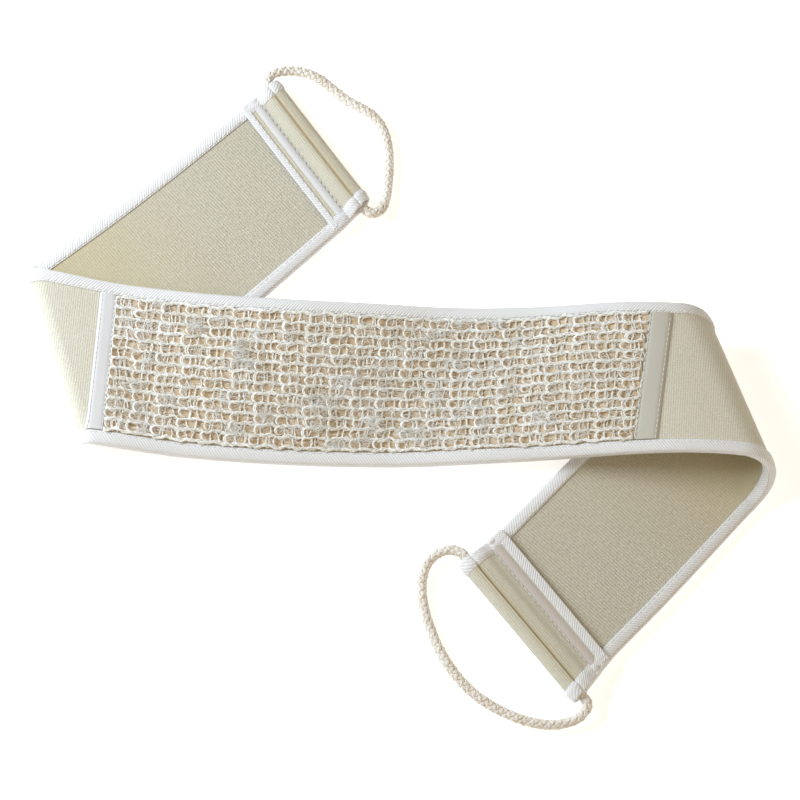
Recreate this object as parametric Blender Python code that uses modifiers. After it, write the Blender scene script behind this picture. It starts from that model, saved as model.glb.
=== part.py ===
"""Loofah back scrubber: a padded strap with a sisal face and a rope handle at each end.

The strap lies folded in a Z: its middle third shows the sisal face, and both arms are
folded diagonally under it. Every cloth layer is laid out flat first, with u along the
strap, v across it and n out of its front face, and strap_point() then folds it.
Run with blender --background --python part.py. Metres, +Z up.
"""
import math

import bmesh
import bpy
import numpy as np
from mathutils import Matrix, Vector

MM = 0.001
GAP = 0.4 * MM                      # air between pieces that touch
APEX_GAP = 0.9 * MM                 # air between a joint's two halves of a bend

# strap, laid out flat
HALF_WIDTH = 45.0 * MM
HALF_LENGTH = {-1: 376.0 * MM, 1: 375.0 * MM}
CLOTH = 1.0 * MM                    # thickness of the front and the back cloth
PADDING = 1.4 * MM
TAPE = 0.5 * MM                     # thickness of the binding tape
BINDING_REACH = 6.6 * MM            # how far a binding's legs reach over the cloth
CLOTH_LEVEL = PADDING / 2 + GAP + CLOTH / 2
CLOTH_FACE = CLOTH_LEVEL + CLOTH / 2
LEG_LEVEL = CLOTH_FACE + GAP + TAPE / 2
STACK = LEG_LEVEL + TAPE / 2        # from the strap's middle to a binding's outer face

# sisal face
PANEL_LEFT = -148.0 * MM
PANEL_RIGHT = 134.5 * MM
PANEL_SKEW = 0.045                  # lean of the right tape, in u per v
PANEL_THICKNESS = 1.8 * MM
PANEL_TAPE_WIDTH = 10.0 * MM
PANEL_TAPE_THICKNESS = 0.9 * MM
PANEL_GAP = 0.8 * MM

# folds: distance of each fold line from the middle, its angle, and the bend's radius
FOLD_PLACE = {-1: 170.2 * MM, 1: 168.7 * MM}
FOLD_ANGLE = {-1: math.radians(113.1), 1: math.radians(114.7)}
FOLD_RADIUS = {-1: 5.5 * MM, 1: 14.2 * MM}
HINGE_REACH = math.pi / 2           # hinge distance from the bend's centre, in radii

# lie of the strap on the table
COVER_RISE = 6.9 * MM               # how much an arm below lifts the middle
COVER_FALL = {-1: 100.0 * MM, 1: 57.0 * MM}
FOLD_FALL = {-1: 45.0 * MM, 1: 122.0 * MM}
WIDTH_CHANGE = {-1: 0.026, 1: -0.105}
WIDTH_FADE = 160.0 * MM
ARM_WIDTH_FADE = 120.0 * MM
SWAY_SLOPE = 0.0486                 # the centreline's drift in plan: slope, bow and turn
SWAY_BOW = 0.122                    # per metre
SWAY_TURN = -1.40                   # per square metre
PLAN_TURN = math.radians(-3.65)
PLAN_SHIFT = (-4.63 * MM, 0.89 * MM)
MIDDLE_STEPS = 18

# hems and rope handles
ROPE_RADIUS = 3.25 * MM
MOUTH_CLEARANCE = 0.4 * MM
END_FLARE = {-1: -2.0 * MM, 1: 2.5 * MM}
FLARE_LENGTH = 30.0 * MM
HEM_SKEW = {-1: 0.127, 1: -0.152}
CHANNEL_RADIUS = ROPE_RADIUS + MOUTH_CLEARANCE + TAPE + GAP + CLOTH / 2
CHANNEL_DEPTH = CHANNEL_RADIUS - CLOTH_LEVEL            # rope axis behind the strap's middle
END_REACH = CHANNEL_RADIUS + CLOTH / 2 + GAP + TAPE     # rope axis to the strap's end
STACK_END = 7.5 * MM                # padding and back cloth stop this far inside the axis
FLAP_SLOPE = 8.0 * MM               # the flap comes down onto the back cloth over this
FLAP_END = {-1: 20.0 * MM, 1: 23.0 * MM}
HEM_SEAM = {-1: 10.2 * MM, 1: 12.8 * MM}     # hem's stitch line, inside the rope axis
HEM_TAPE_WIDTH = 3.2 * MM
FLAP_LEVEL = STACK + GAP + TAPE + GAP + CLOTH / 2
SPLICE_HALF = 7.0 * MM
SEAM_WIDTH = 0.7 * MM
SEAM_THICKNESS = 0.3 * MM
SEAM_INSET = 5.6 * MM               # stitch line, in from the cloth's edge

# rope handles: across the hem, out from the channel's axis, height over the table (mm)
ROPE_ROUTE = {
    -1: [(45, 0, 6.4), (47.6, 1.2, 6.2), (49.3, 3.8, 5.8), (49.6, 7.4, 5.1), (48.2, 12, 4.3),
         (45, 17.2, 3.7), (40.2, 21.8, 3.4), (33.8, 25.2, 3.3), (27.3, 27, 3.3),
         (20.8, 28.4, 3.3), (13.5, 30.4, 3.3), (6, 33.8, 3.3), (-1.5, 36.4, 3.3),
         (-9, 36.7, 3.3), (-17, 34.6, 3.3), (-25, 30.6, 3.3), (-33, 25, 3.3),
         (-39.6, 19.6, 3.4), (-45.4, 14.3, 3.8), (-49.7, 9.2, 4.6), (-50.6, 4.4, 5.6),
         (-48.7, 1.2, 6.2), (-45, 0, 6.4)],
    1: [(49.5, 0, 6.4), (53.3, 0.9, 6.2), (56.9, 3.5, 5.6), (59.3, 7.8, 4.6),
        (59.8, 13.6, 3.7), (57.8, 19.8, 3.4), (53.2, 25.5, 3.3), (47.2, 30.4, 3.3),
        (39.5, 34.6, 3.3), (31, 38, 3.3), (21.5, 41, 3.3), (10.5, 43.1, 3.3),
        (-1.3, 43.6, 3.3), (-13, 42.1, 3.3), (-24, 38.6, 3.3), (-34.2, 33.6, 3.3),
        (-43, 27.6, 3.3), (-49.2, 21.4, 3.4), (-53, 14.8, 3.8), (-55.1, 8.4, 4.7),
        (-54.1, 2.7, 5.9), (-50.4, 0, 6.4)],
}
ROPE_STEP = 9.0 * MM

# colours, as seen
FRONT_CLOTH_COLOUR = (0.78, 0.74, 0.60)
BACK_CLOTH_COLOUR = (0.66, 0.62, 0.49)
PADDING_COLOUR = (0.90, 0.88, 0.80)
SISAL_COLOUR = (0.86, 0.83, 0.72)
BINDING_COLOUR = (0.84, 0.85, 0.87)
THREAD_COLOUR = (0.92, 0.92, 0.90)
ROPE_COLOUR = (0.85, 0.80, 0.72)

SIDE_NAME = {-1: "left", 1: "right"}
EDGE_NAME = {1: "upper", -1: "lower"}


# ---- the folded strap ---------------------------------------------------------------

def smooth(x):
    """Ease from 0 to 1."""
    x = np.clip(x, 0.0, 1.0)
    return x * x * (3.0 - 2.0 * x)


def fold_normal(side):
    """Unit normal of a fold line in the flat strap, pointing towards that end."""
    angle = FOLD_ANGLE[side]
    return np.array([math.sin(angle), -math.cos(angle)]) * side


def fold_u(side, v, reach=0.0):
    """u of the line parallel to a fold line, at v, a distance reach beyond it."""
    angle = FOLD_ANGLE[side]
    return side * (FOLD_PLACE[side] + reach / math.sin(angle)) + v / math.tan(angle)


def beyond_fold(side, u, v):
    """Distance beyond a fold line, measured at right angles to it."""
    normal = fold_normal(side)
    return (u - side * FOLD_PLACE[side]) * normal[0] + v * normal[1]


def beyond_arm(side, u, v):
    """Distance outside the edge of the arm that lies under the middle, in plan."""
    normal = fold_normal(side)
    edge_v = side * HALF_WIDTH
    along = np.array([side, 0.0])
    arm_way = along - 2.0 * along.dot(normal) * normal
    outward = np.array([-arm_way[1], arm_way[0]])
    start = np.array([fold_u(side, edge_v), edge_v])
    inside = np.array([side * FOLD_PLACE[side], 0.0]) + arm_way * 60 * MM
    if outward.dot(inside - start) > 0:
        outward = -outward
    return (u - start[0]) * outward[0] + (v - start[1]) * outward[1]


def place(x, y, z):
    """Put plan coordinates where the strap lies, with its slight sideways sway."""
    y = y + SWAY_SLOPE * x + SWAY_BOW * x ** 2 + SWAY_TURN * x ** 3
    turn = np.array([math.cos(PLAN_TURN), math.sin(PLAN_TURN)])
    return np.stack([x * turn[0] - y * turn[1] + PLAN_SHIFT[0],
                     x * turn[1] + y * turn[0] + PLAN_SHIFT[1], z], -1)


def middle_surface(u, v):
    """The strap's middle third: raised over the arms and the folds, flat between."""
    height = np.full(np.shape(u), STACK)
    width = np.ones(np.shape(u))
    for side in (-1, 1):
        inside = -beyond_fold(side, u, v)
        cover = 1.0 - smooth(beyond_arm(side, u, v) / COVER_FALL[side])
        fold = 1.0 - smooth(inside / FOLD_FALL[side])
        fold_rise = 2.0 * FOLD_RADIUS[side] - COVER_RISE
        height = height + COVER_RISE * cover + fold_rise * fold
        width = width + WIDTH_CHANGE[side] * (1.0 - smooth(inside / WIDTH_FADE))
    return place(u, v * width, height)


def arm_surface(side, u, v):
    """A fold and the arm beyond it: half a turn, then flat on the table."""
    normal = fold_normal(side)
    radius = FOLD_RADIUS[side]
    beyond = beyond_fold(side, u, v)
    turn = np.clip(beyond, 0.0, math.pi * radius) / radius
    flat = np.maximum(beyond - math.pi * radius, 0.0)
    out = radius * np.sin(turn) - flat
    fade = 1.0 - smooth(beyond / ARM_WIDTH_FADE)
    spread = WIDTH_CHANGE[side] * fade * v
    mirrored = np.array([0.0, 1.0]) - 2.0 * normal[1] * normal
    mix = turn / math.pi
    x = u - beyond * normal[0] + normal[0] * out + spread * mix * mirrored[0]
    y = v - beyond * normal[1] + normal[1] * out
    y = y + spread * ((1.0 - mix) + mix * mirrored[1])
    return place(x, y, STACK + radius + radius * np.cos(turn))


def middle_of_strap(u, v):
    """Middle surface of the whole strap."""
    point = middle_surface(u, v)
    for side in (-1, 1):
        over = beyond_fold(side, u, v) > 0.0
        point = np.where(over[..., None], arm_surface(side, u, v), point)
    return point


def strap_point(u, v, n):
    """World place of a point of the flat strap, n out of its front face."""
    u, v, n = np.broadcast_arrays(np.asarray(u, float), v, n)
    step = 0.2 * MM
    along = middle_of_strap(u + step, v) - middle_of_strap(u - step, v)
    across = middle_of_strap(u, v + step) - middle_of_strap(u, v - step)
    normal = np.cross(along, across)
    normal = normal / np.linalg.norm(normal, axis=-1, keepdims=True)
    return middle_of_strap(u, v) + normal * n[..., None]


# ---- lines across the strap, as functions of v ---------------------------------------

def bend_lines(side, first, last, count):
    """Lines parallel to a fold, from one turning angle to another."""
    reaches = np.linspace(first, last, count + 1) * FOLD_RADIUS[side]
    return [lambda v, reach=reach: fold_u(side, v, reach) for reach in reaches]


def between(start, end, count):
    """Lines spaced evenly between two others, without the two themselves."""
    steps = np.linspace(0.0, 1.0, count + 1)[1:-1]
    return [lambda v, t=t: start(v) * (1.0 - t) + end(v) * t for t in steps]


def channel_u(side, v, reach=0.0):
    """u of the rope channel's axis at v, or of a line a distance reach beyond it."""
    return side * (HALF_LENGTH[side] - END_REACH + HEM_SKEW[side] * v + reach)


def apex(side):
    """Turning angle at which the middle's half of a bend stops."""
    return math.pi / 2 - 0.5 * APEX_GAP / FOLD_RADIUS[side]


def middle_lines():
    left = bend_lines(-1, apex(-1), 0.0, 4)
    right = bend_lines(1, 0.0, apex(1), 5)
    return left + between(left[-1], right[0], MIDDLE_STEPS) + right


def flat_middle_lines():
    """Lines of the middle between the two bends."""
    start = bend_lines(-1, 0.0, 0.0, 1)[0]
    end = bend_lines(1, 0.0, 0.0, 1)[0]
    return [start] + between(start, end, MIDDLE_STEPS) + [end]


def arm_lines(side, stop, bend=True):
    """Lines of an arm from its bend to a distance stop inside the rope channel's axis."""
    first = math.pi - apex(side) if bend else math.pi
    lines = bend_lines(side, first, math.pi, 4 if bend else 1)
    if not bend:
        lines = lines[:1]
    end = lambda v: channel_u(side, v, -stop)
    return lines + between(lines[-1], end, 7) + [end]


def end_width(side, u, v):
    """v widened where the strap flares towards its end."""
    start = HALF_LENGTH[side] - FLARE_LENGTH
    flare = END_FLARE[side] / HALF_WIDTH
    return v * (1.0 + flare * smooth((u * side - start) / FLARE_LENGTH))


# ---- mesh helpers ---------------------------------------------------------------------

def material(name, colour, roughness):
    """A plain Principled material."""
    made = bpy.data.materials.new(name)
    made.use_nodes = True
    shader = made.node_tree.nodes["Principled BSDF"]
    shader.inputs["Base Color"].default_value = (*colour, 1.0)
    shader.inputs["Roughness"].default_value = roughness
    shader.inputs["Metallic"].default_value = 0.0
    return made


def add_object(name, data, owner, look):
    """Link an object with its own material, under the empty on its joint's axis."""
    data.materials.append(material(name, *look))
    made = bpy.data.objects.new(name, data)
    COLLECTION.objects.link(made)
    if owner is not None:
        made.parent = owner
        made.matrix_parent_inverse = Matrix.Translation(-owner.location)
    return made


def sheet(name, points, thickness, owner, look):
    """A cloth layer: a grid laid over an array of points, thickened both ways."""
    rows, columns = points.shape[0] - 1, points.shape[1] - 1
    mesh = bmesh.new()
    bmesh.ops.create_grid(mesh, x_segments=rows, y_segments=columns, size=1.0)
    for vertex in mesh.verts:
        row = round((vertex.co.x + 1.0) / 2.0 * rows)
        column = round((vertex.co.y + 1.0) / 2.0 * columns)
        vertex.co = Vector(points[row, column])
    data = bpy.data.meshes.new(name)
    mesh.to_mesh(data)
    mesh.free()
    data.shade_smooth()
    data.set_sharp_from_angle(angle=math.radians(40))
    made = add_object(name, data, owner, look)
    solid = made.modifiers.new("thickness", 'SOLIDIFY')
    solid.thickness = thickness
    solid.offset = 0.0
    return made


def cloth_columns(inner):
    """v of a cloth's columns: its edges, the bindings' inner edges and some between."""
    leg = HALF_WIDTH - BINDING_REACH
    middle = np.linspace(-leg, leg, 2 * inner + 1)
    return np.concatenate([[-HALF_WIDTH], middle, [HALF_WIDTH]])


def layer_points(lines, v_values, level):
    """Points of a flat layer at one level of the strap."""
    v = np.asarray(v_values)
    return np.array([strap_point(line(v), v, level) for line in lines])


def flared_points(side, lines, v_values, level):
    """Points of an arm's layer, widened towards the hem."""
    v = np.asarray(v_values)
    rows = []
    for line in lines:
        u = line(v)
        rows.append(strap_point(u, end_width(side, u, v), level))
    return np.array(rows)


def binding_section(edge, half_depth, level):
    """U of a binding round one edge: (v, n) pairs from its front leg to its back leg."""
    outside = HALF_WIDTH + GAP + TAPE / 2
    corner = 0.5 * MM
    inner = HALF_WIDTH - BINDING_REACH
    half = [(inner, half_depth), (outside - corner, half_depth),
            (outside, half_depth - corner)]
    section = half + [(v, -n) for v, n in reversed(half)]
    return [(edge * v, level + n) for v, n in section]


# ---- middle ------------------------------------------------------------------------------

def build_middle():
    across = cloth_columns(2)
    lines = middle_lines()
    sheet("centre_front_cloth", layer_points(lines, across, CLOTH_LEVEL), CLOTH, None,
          (FRONT_CLOTH_COLOUR, 0.95))
    sheet("centre_padding", layer_points(lines, across, 0.0), PADDING, None,
          (PADDING_COLOUR, 0.95))
    sheet("centre_back_cloth", layer_points(lines, across, -CLOTH_LEVEL), CLOTH, None,
          (BACK_CLOTH_COLOUR, 0.95))
    for edge, edge_name in EDGE_NAME.items():
        section = binding_section(edge, LEG_LEVEL, 0.0)
        points = np.array([[strap_point(line(v), v, n) for v, n in section]
                           for line in lines])
        sheet(f"centre_{edge_name}_binding", points, TAPE, None, (BINDING_COLOUR, 0.85))
        inner = edge * (HALF_WIDTH - SEAM_INSET)
        seam = layer_points(flat_middle_lines(), (inner, inner + edge * SEAM_WIDTH),
                            STACK + GAP + SEAM_THICKNESS / 2)
        sheet(f"centre_{edge_name}_seam", seam, SEAM_THICKNESS, None,
              (THREAD_COLOUR, 0.7))
    build_panel()


def build_panel():
    """Knitted sisal face and the tapes sewn over its two ends."""
    half = HALF_WIDTH - BINDING_REACH - GAP - TAPE / 2
    across = np.linspace(-half, half, 7)
    left = lambda v: np.full(np.shape(v), PANEL_LEFT)
    right = lambda v: PANEL_RIGHT + PANEL_SKEW * np.asarray(v)
    lines = [left] + between(left, right, 15) + [right]
    level = CLOTH_FACE + PANEL_GAP + PANEL_THICKNESS / 2
    sheet("sisal_panel", layer_points(lines, across, level), PANEL_THICKNESS, None,
          (SISAL_COLOUR, 0.95))
    level = CLOTH_FACE + PANEL_GAP + PANEL_TAPE_THICKNESS / 2
    for side, line in ((-1, left), (1, right)):
        near = lambda v: line(v) + side * GAP
        far = lambda v: line(v) + side * (GAP + PANEL_TAPE_WIDTH)
        points = layer_points([near] + between(near, far, 2) + [far], across, level)
        sheet(f"{SIDE_NAME[side]}_panel_tape", points, PANEL_TAPE_THICKNESS, None,
              (BINDING_COLOUR, 0.85))


# ---- arms and hems ------------------------------------------------------------------------

def hem_path(side):
    """Turned hem beside the rope axis: (reach, n, way out) from the table round to the flap."""
    path = []
    for turn in np.linspace(0.0, math.pi, 7):
        way = (math.sin(turn), math.cos(turn))
        path.append((CHANNEL_RADIUS * way[0], -CHANNEL_DEPTH + CHANNEL_RADIUS * way[1], way))
    top = -CHANNEL_DEPTH - CHANNEL_RADIUS
    for step in np.linspace(0.0, 1.0, 5)[1:]:
        level = top + (-FLAP_LEVEL - top) * float(smooth(step))
        slope = (-FLAP_LEVEL - top) * 6.0 * step * (1.0 - step) / FLAP_SLOPE
        size = math.hypot(slope, 1.0)
        path.append((-FLAP_SLOPE * step, level, (-slope / size, -1.0 / size)))
    path.append((-FLAP_END[side], -FLAP_LEVEL, (0.0, -1.0)))
    return path


def hem_point(side, v, step, out):
    """A point of the turned hem, out from the cloth's middle."""
    reach, level, way = step
    u = channel_u(side, v, reach + out * way[0])
    return strap_point(u, end_width(side, u, v), level + out * way[1])


def build_arm(side, owner):
    name = SIDE_NAME[side]
    across = cloth_columns(1)
    hem = hem_path(side)
    to_channel = arm_lines(side, 1.5 * MM)
    front = flared_points(side, to_channel, across, CLOTH_LEVEL)
    turned = np.array([hem_point(side, across, step, 0.0) for step in hem])
    sheet(f"{name}_arm_front_cloth", np.concatenate([front, turned]), CLOTH, owner,
          (FRONT_CLOTH_COLOUR, 0.95))
    stack = arm_lines(side, STACK_END)
    sheet(f"{name}_arm_padding", flared_points(side, stack, across, 0.0), PADDING, owner,
          (PADDING_COLOUR, 0.95))
    back = flared_points(side, stack, across, -CLOTH_LEVEL)
    sheet(f"{name}_arm_back_cloth", back, CLOTH, owner, (BACK_CLOTH_COLOUR, 0.95))
    for edge, edge_name in EDGE_NAME.items():
        build_arm_binding(side, edge, f"{name}_arm_{edge_name}_binding", owner)
        inner = edge * (HALF_WIDTH - SEAM_INSET)
        seam_lines = arm_lines(side, FLAP_END[side] + 3 * MM, bend=False)
        seam = flared_points(side, seam_lines, (inner, inner + edge * SEAM_WIDTH),
                             -STACK - GAP - SEAM_THICKNESS / 2)
        sheet(f"{name}_arm_{edge_name}_seam", seam, SEAM_THICKNESS, owner,
              (THREAD_COLOUR, 0.7))
    build_hem_trim(side, owner)


def build_arm_binding(side, edge, name, owner):
    """Binding along an arm's edge: round the whole stack, then round the turned cloth."""
    rows = []
    for line in arm_lines(side, STACK_END - GAP):
        rows.append([(line(v), v, n) for v, n in binding_section(edge, LEG_LEVEL, 0.0)])
    cloth_leg = CLOTH / 2 + GAP + TAPE / 2
    for inside in (5.2 * MM, 3.4 * MM, 1.7 * MM):
        drop = float(smooth((STACK_END - GAP - inside) / (STACK_END - GAP - 1.7 * MM)))
        half_depth = LEG_LEVEL + (cloth_leg - LEG_LEVEL) * drop
        section = binding_section(edge, half_depth, CLOTH_LEVEL * drop)
        rows.append([(channel_u(side, v, -inside), v, n) for v, n in section])
    for reach, level, way in hem_path(side):
        section = binding_section(edge, cloth_leg, 0.0)
        rows.append([(channel_u(side, v, reach + out * way[0]), v, level + out * way[1])
                     for v, out in section])
    points = np.array([[strap_point(u, end_width(side, u, v), n) for u, v, n in row]
                       for row in rows])
    sheet(name, points, TAPE, owner, (BINDING_COLOUR, 0.85))


def build_hem_trim(side, owner):
    """Binding on the flap's free edge, the tape beside it and the hem's stitch line."""
    name = SIDE_NAME[side]
    half = HALF_WIDTH - BINDING_REACH - GAP - TAPE / 2
    across = np.linspace(-half, half, 4)
    leg = CLOTH / 2 + GAP + TAPE / 2
    edge = -FLAP_END[side] - GAP - TAPE / 2
    legs = -FLAP_END[side] + 4.5 * MM
    corner = 0.4 * MM
    section = [(legs, -leg), (edge + corner, -leg), (edge, -leg + corner),
               (edge, leg - corner), (edge + corner, leg), (legs, leg)]
    points = []
    for reach, out in section:
        u = channel_u(side, across, reach)
        points.append(strap_point(u, end_width(side, u, across), -FLAP_LEVEL + out))
    sheet(f"{name}_hem_binding", np.array(points), TAPE, owner, (BINDING_COLOUR, 0.85))
    seam = -HEM_SEAM[side]
    trims = (("tape", seam - GAP - HEM_TAPE_WIDTH, seam - GAP, TAPE),
             ("seam", seam, seam + SEAM_WIDTH, SEAM_THICKNESS))
    for kind, near, far, thickness in trims:
        level = -FLAP_LEVEL - CLOTH / 2 - GAP - thickness / 2
        points = []
        for reach in (near, far):
            u = channel_u(side, across, reach)
            points.append(strap_point(u, end_width(side, u, across), level))
        look = (THREAD_COLOUR, 0.7) if kind == "seam" else (BINDING_COLOUR, 0.85)
        sheet(f"{name}_hem_{kind}", np.array(points), thickness, owner, look)


# ---- rope handles ---------------------------------------------------------------------------

def channel_frame(side):
    """Middle of the rope channel's axis, its way across the hem and its way outward."""
    ends = []
    for v in (-HALF_WIDTH, HALF_WIDTH):
        u = channel_u(side, v)
        ends.append(Vector(strap_point(u, end_width(side, u, v), -CHANNEL_DEPTH)))
    middle = (ends[0] + ends[1]) / 2
    across = (ends[1] - ends[0]).normalized()
    outward = across.cross(Vector((0, 0, 1)))
    inside = Vector(strap_point(channel_u(side, 0.0, -50 * MM), 0.0, -CHANNEL_DEPTH))
    if outward.dot(middle - inside) < 0:
        outward = -outward
    return middle, across, outward


def smooth_route(points, step):
    """Evenly spaced points of a Catmull-Rom curve through the given ones."""
    dense = []
    padded = [points[0] * 2 - points[1]] + points + [points[-1] * 2 - points[-2]]
    for a, b, c, d in zip(padded, padded[1:], padded[2:], padded[3:]):
        for t in np.linspace(0.0, 1.0, 9)[:-1]:
            dense.append(0.5 * (2 * b + (c - a) * t + (2 * a - 5 * b + 4 * c - d) * t ** 2
                                + (3 * b - a - 3 * c + d) * t ** 3))
    dense.append(points[-1])
    lengths = np.cumsum([0.0] + [(q - p).length for p, q in zip(dense, dense[1:])])
    wanted = np.linspace(0.0, lengths[-1], int(lengths[-1] / step) + 1)
    flat = np.array([p[:] for p in dense])
    return np.stack([np.interp(wanted, lengths, flat[:, k]) for k in range(3)], -1)


def rope_points(side):
    """Centre line of a handle's rope, from one side of its splice round to the other."""
    middle, across, outward = channel_frame(side)
    loop = [(v, out, z) for v, out, z in ROPE_ROUTE[side]]
    start = middle + across * (SPLICE_HALF + GAP)
    end = middle - across * (SPLICE_HALF + GAP)
    points = []
    for v, out, z in loop:
        point = middle + across * (v * MM) + outward * (out * MM)
        height = middle.z if out == 0 else z * MM
        points.append(Vector((point.x, point.y, height)))
    bend = smooth_route(points, ROPE_STEP * 0.55)
    return [start] + [Vector(p) for p in bend] + [end]


def build_handle(side, owner):
    name = SIDE_NAME[side]
    rope = bpy.data.curves.new(f"{name}_handle_rope", 'CURVE')
    rope.dimensions = '3D'
    rope.bevel_depth = ROPE_RADIUS
    rope.bevel_resolution = 2
    rope.use_fill_caps = True
    spline = rope.splines.new('POLY')
    points = rope_points(side)
    spline.points.add(len(points) - 1)
    for point, place_at in zip(spline.points, points):
        point.co = (*place_at, 1.0)
    spline.use_smooth = True
    add_object(f"{name}_handle_rope", rope, owner, (ROPE_COLOUR, 0.9))

    middle, across, _ = channel_frame(side)
    mesh = bmesh.new()
    spin = across.to_track_quat('Z', 'Y').to_matrix().to_4x4()
    bmesh.ops.create_cone(mesh, cap_ends=True, segments=12, radius1=ROPE_RADIUS,
                          radius2=ROPE_RADIUS, depth=2 * SPLICE_HALF,
                          matrix=Matrix.Translation(middle) @ spin)
    data = bpy.data.meshes.new(f"{name}_handle_splice")
    mesh.to_mesh(data)
    mesh.free()
    data.shade_smooth()
    data.set_sharp_from_angle(angle=math.radians(40))
    add_object(f"{name}_handle_splice", data, owner, (ROPE_COLOUR, 0.9))


# ---- joints -----------------------------------------------------------------------------------

def axis_empty(name, location):
    made = bpy.data.objects.new(name, None)
    made.location = location
    COLLECTION.objects.link(made)
    return made


def fold_axis(side):
    """A point on a fold's hinge line and the line's direction."""
    ends = [Vector(place(np.array(fold_u(side, v)), np.array(v), np.array(0.0)))
            for v in (-HALF_WIDTH, HALF_WIDTH)]
    along = (ends[1] - ends[0]).normalized()
    outward = Vector((along.y, -along.x, 0.0))
    if outward.x * side < 0:
        outward = -outward
    reach = HINGE_REACH * FOLD_RADIUS[side]
    point = (ends[0] + ends[1]) / 2 + outward * reach
    point.z = STACK + FOLD_RADIUS[side]
    return point, outward.cross(Vector((0, 0, 1)))


def build():
    build_middle()
    for side, name in SIDE_NAME.items():
        hinge, _ = fold_axis(side)
        build_arm(side, axis_empty(f"{name}_fold_axis", hinge))
        channel, _, _ = channel_frame(side)
        build_handle(side, axis_empty(f"{name}_handle_axis", channel))


for old in list(bpy.data.objects):
    bpy.data.objects.remove(old, do_unlink=True)
COLLECTION = bpy.data.collections.new("loofah_back_scrubber")
bpy.context.scene.collection.children.link(COLLECTION)
build()
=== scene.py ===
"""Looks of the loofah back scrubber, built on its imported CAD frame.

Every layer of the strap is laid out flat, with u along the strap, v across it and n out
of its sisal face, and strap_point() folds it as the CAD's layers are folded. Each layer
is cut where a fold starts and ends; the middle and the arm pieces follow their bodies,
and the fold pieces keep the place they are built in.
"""

import math

import bpy
import numpy as np
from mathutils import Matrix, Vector


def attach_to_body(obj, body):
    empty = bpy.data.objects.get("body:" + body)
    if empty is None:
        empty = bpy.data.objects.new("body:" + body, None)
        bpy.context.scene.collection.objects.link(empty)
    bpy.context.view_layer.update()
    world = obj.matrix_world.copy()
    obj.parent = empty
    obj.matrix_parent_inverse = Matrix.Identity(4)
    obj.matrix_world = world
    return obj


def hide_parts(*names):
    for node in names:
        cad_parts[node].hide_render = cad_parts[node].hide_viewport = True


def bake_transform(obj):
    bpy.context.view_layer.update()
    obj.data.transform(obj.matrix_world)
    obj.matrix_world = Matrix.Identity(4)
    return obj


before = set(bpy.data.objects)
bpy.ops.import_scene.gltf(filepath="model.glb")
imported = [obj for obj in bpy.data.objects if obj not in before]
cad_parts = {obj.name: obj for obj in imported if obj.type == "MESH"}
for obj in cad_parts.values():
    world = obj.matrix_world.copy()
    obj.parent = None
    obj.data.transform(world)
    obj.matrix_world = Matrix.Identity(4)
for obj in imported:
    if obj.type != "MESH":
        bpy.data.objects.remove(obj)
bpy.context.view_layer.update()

MM = 0.001
SIDE_NAME = {-1: "left", 1: "right"}
EDGE_NAME = {1: "upper", -1: "lower"}

# strap, laid out flat
HALF_WIDTH = 45.0 * MM
HALF_LENGTH = {-1: 376.0 * MM, 1: 375.0 * MM}
CLOTH = 1.0 * MM
PADDING = 1.4 * MM
TAPE = 0.5 * MM
BINDING_REACH = 6.6 * MM
CLOTH_LEVEL = 1.6 * MM
CLOTH_FACE = 2.1 * MM
STACK = 3.0 * MM  # from the strap's middle to a binding's outer face
BINDING_DEPTH = STACK - 0.2 * TAPE
BINDING_TURN = 1.8 * MM  # in from the cloth's edge, where a binding turns round it
BINDING_NOSE = 0.65 * MM  # how far a binding stands out past the cloth's edge
LAYER_STOP = 7.5 * MM  # back cloth and padding end this far short of the rope
BINDING_STOP = 7.1 * MM  # the long bindings end here, and the hem's carry on
END_FLARE = {-1: -2.0 * MM, 1: 2.5 * MM}
FLARE_LENGTH = 30.0 * MM
END_REACH = 6.45 * MM  # rope axis to the strap's end

# folds
FOLD_PLACE = {-1: 170.2 * MM, 1: 168.7 * MM}
FOLD_ANGLE = {-1: math.radians(113.1), 1: math.radians(114.7)}
FOLD_RADIUS = {-1: 5.5 * MM, 1: 14.2 * MM}
COVER_RISE = 6.9 * MM
COVER_FALL = {-1: 100.0 * MM, 1: 57.0 * MM}
FOLD_FALL = {-1: 45.0 * MM, 1: 122.0 * MM}
WIDTH_CHANGE = {-1: 0.026, 1: -0.105}
WIDTH_FADE = 160.0 * MM
ARM_WIDTH_FADE = 120.0 * MM
SWAY = (0.0486, 0.122, -1.40)  # the centreline's drift in plan: slope, bow and turn
PLAN_TURN = math.radians(-3.65)
PLAN_SHIFT = (-4.63 * MM, 0.89 * MM)
RIM_ANGLE = 40.0  # degrees; a layer's rim is a crisp edge

# sisal face
PANEL_LEFT = -148.0 * MM
PANEL_RIGHT = 134.5 * MM
PANEL_SKEW = {-1: 0.0, 1: 0.060}
PANEL_TAPE_WIDTH = {-1: 9.6 * MM, 1: 12.5 * MM}
PANEL_HALF = 37.75 * MM
PANEL_ROWS = 13
SISAL_BASE = CLOTH_FACE + 0.4 * MM
FUZZ_COUNT = 3600
CLUMP_COUNT = 46
CLUMP_FIBRES = 26
RIDGE_YARNS = 3
LOOP_PITCH = 13.0 * MM
RUNG_PITCH = 4.2 * MM
YARN_RADIUS = {"ridges": (0.28, 0.10), "loose_ridges": (0.20, 0.10),  # least and spread, mm
               "rungs": (0.22, 0.16), "loops": (0.24, 0.12)}
PANEL_TAPE_LAP = 0.6 * MM  # how far the tape lies over the sisal's end
PANEL_TAPE_SEWING = 1.2 * MM  # from the tape's edges to its stitches

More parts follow.
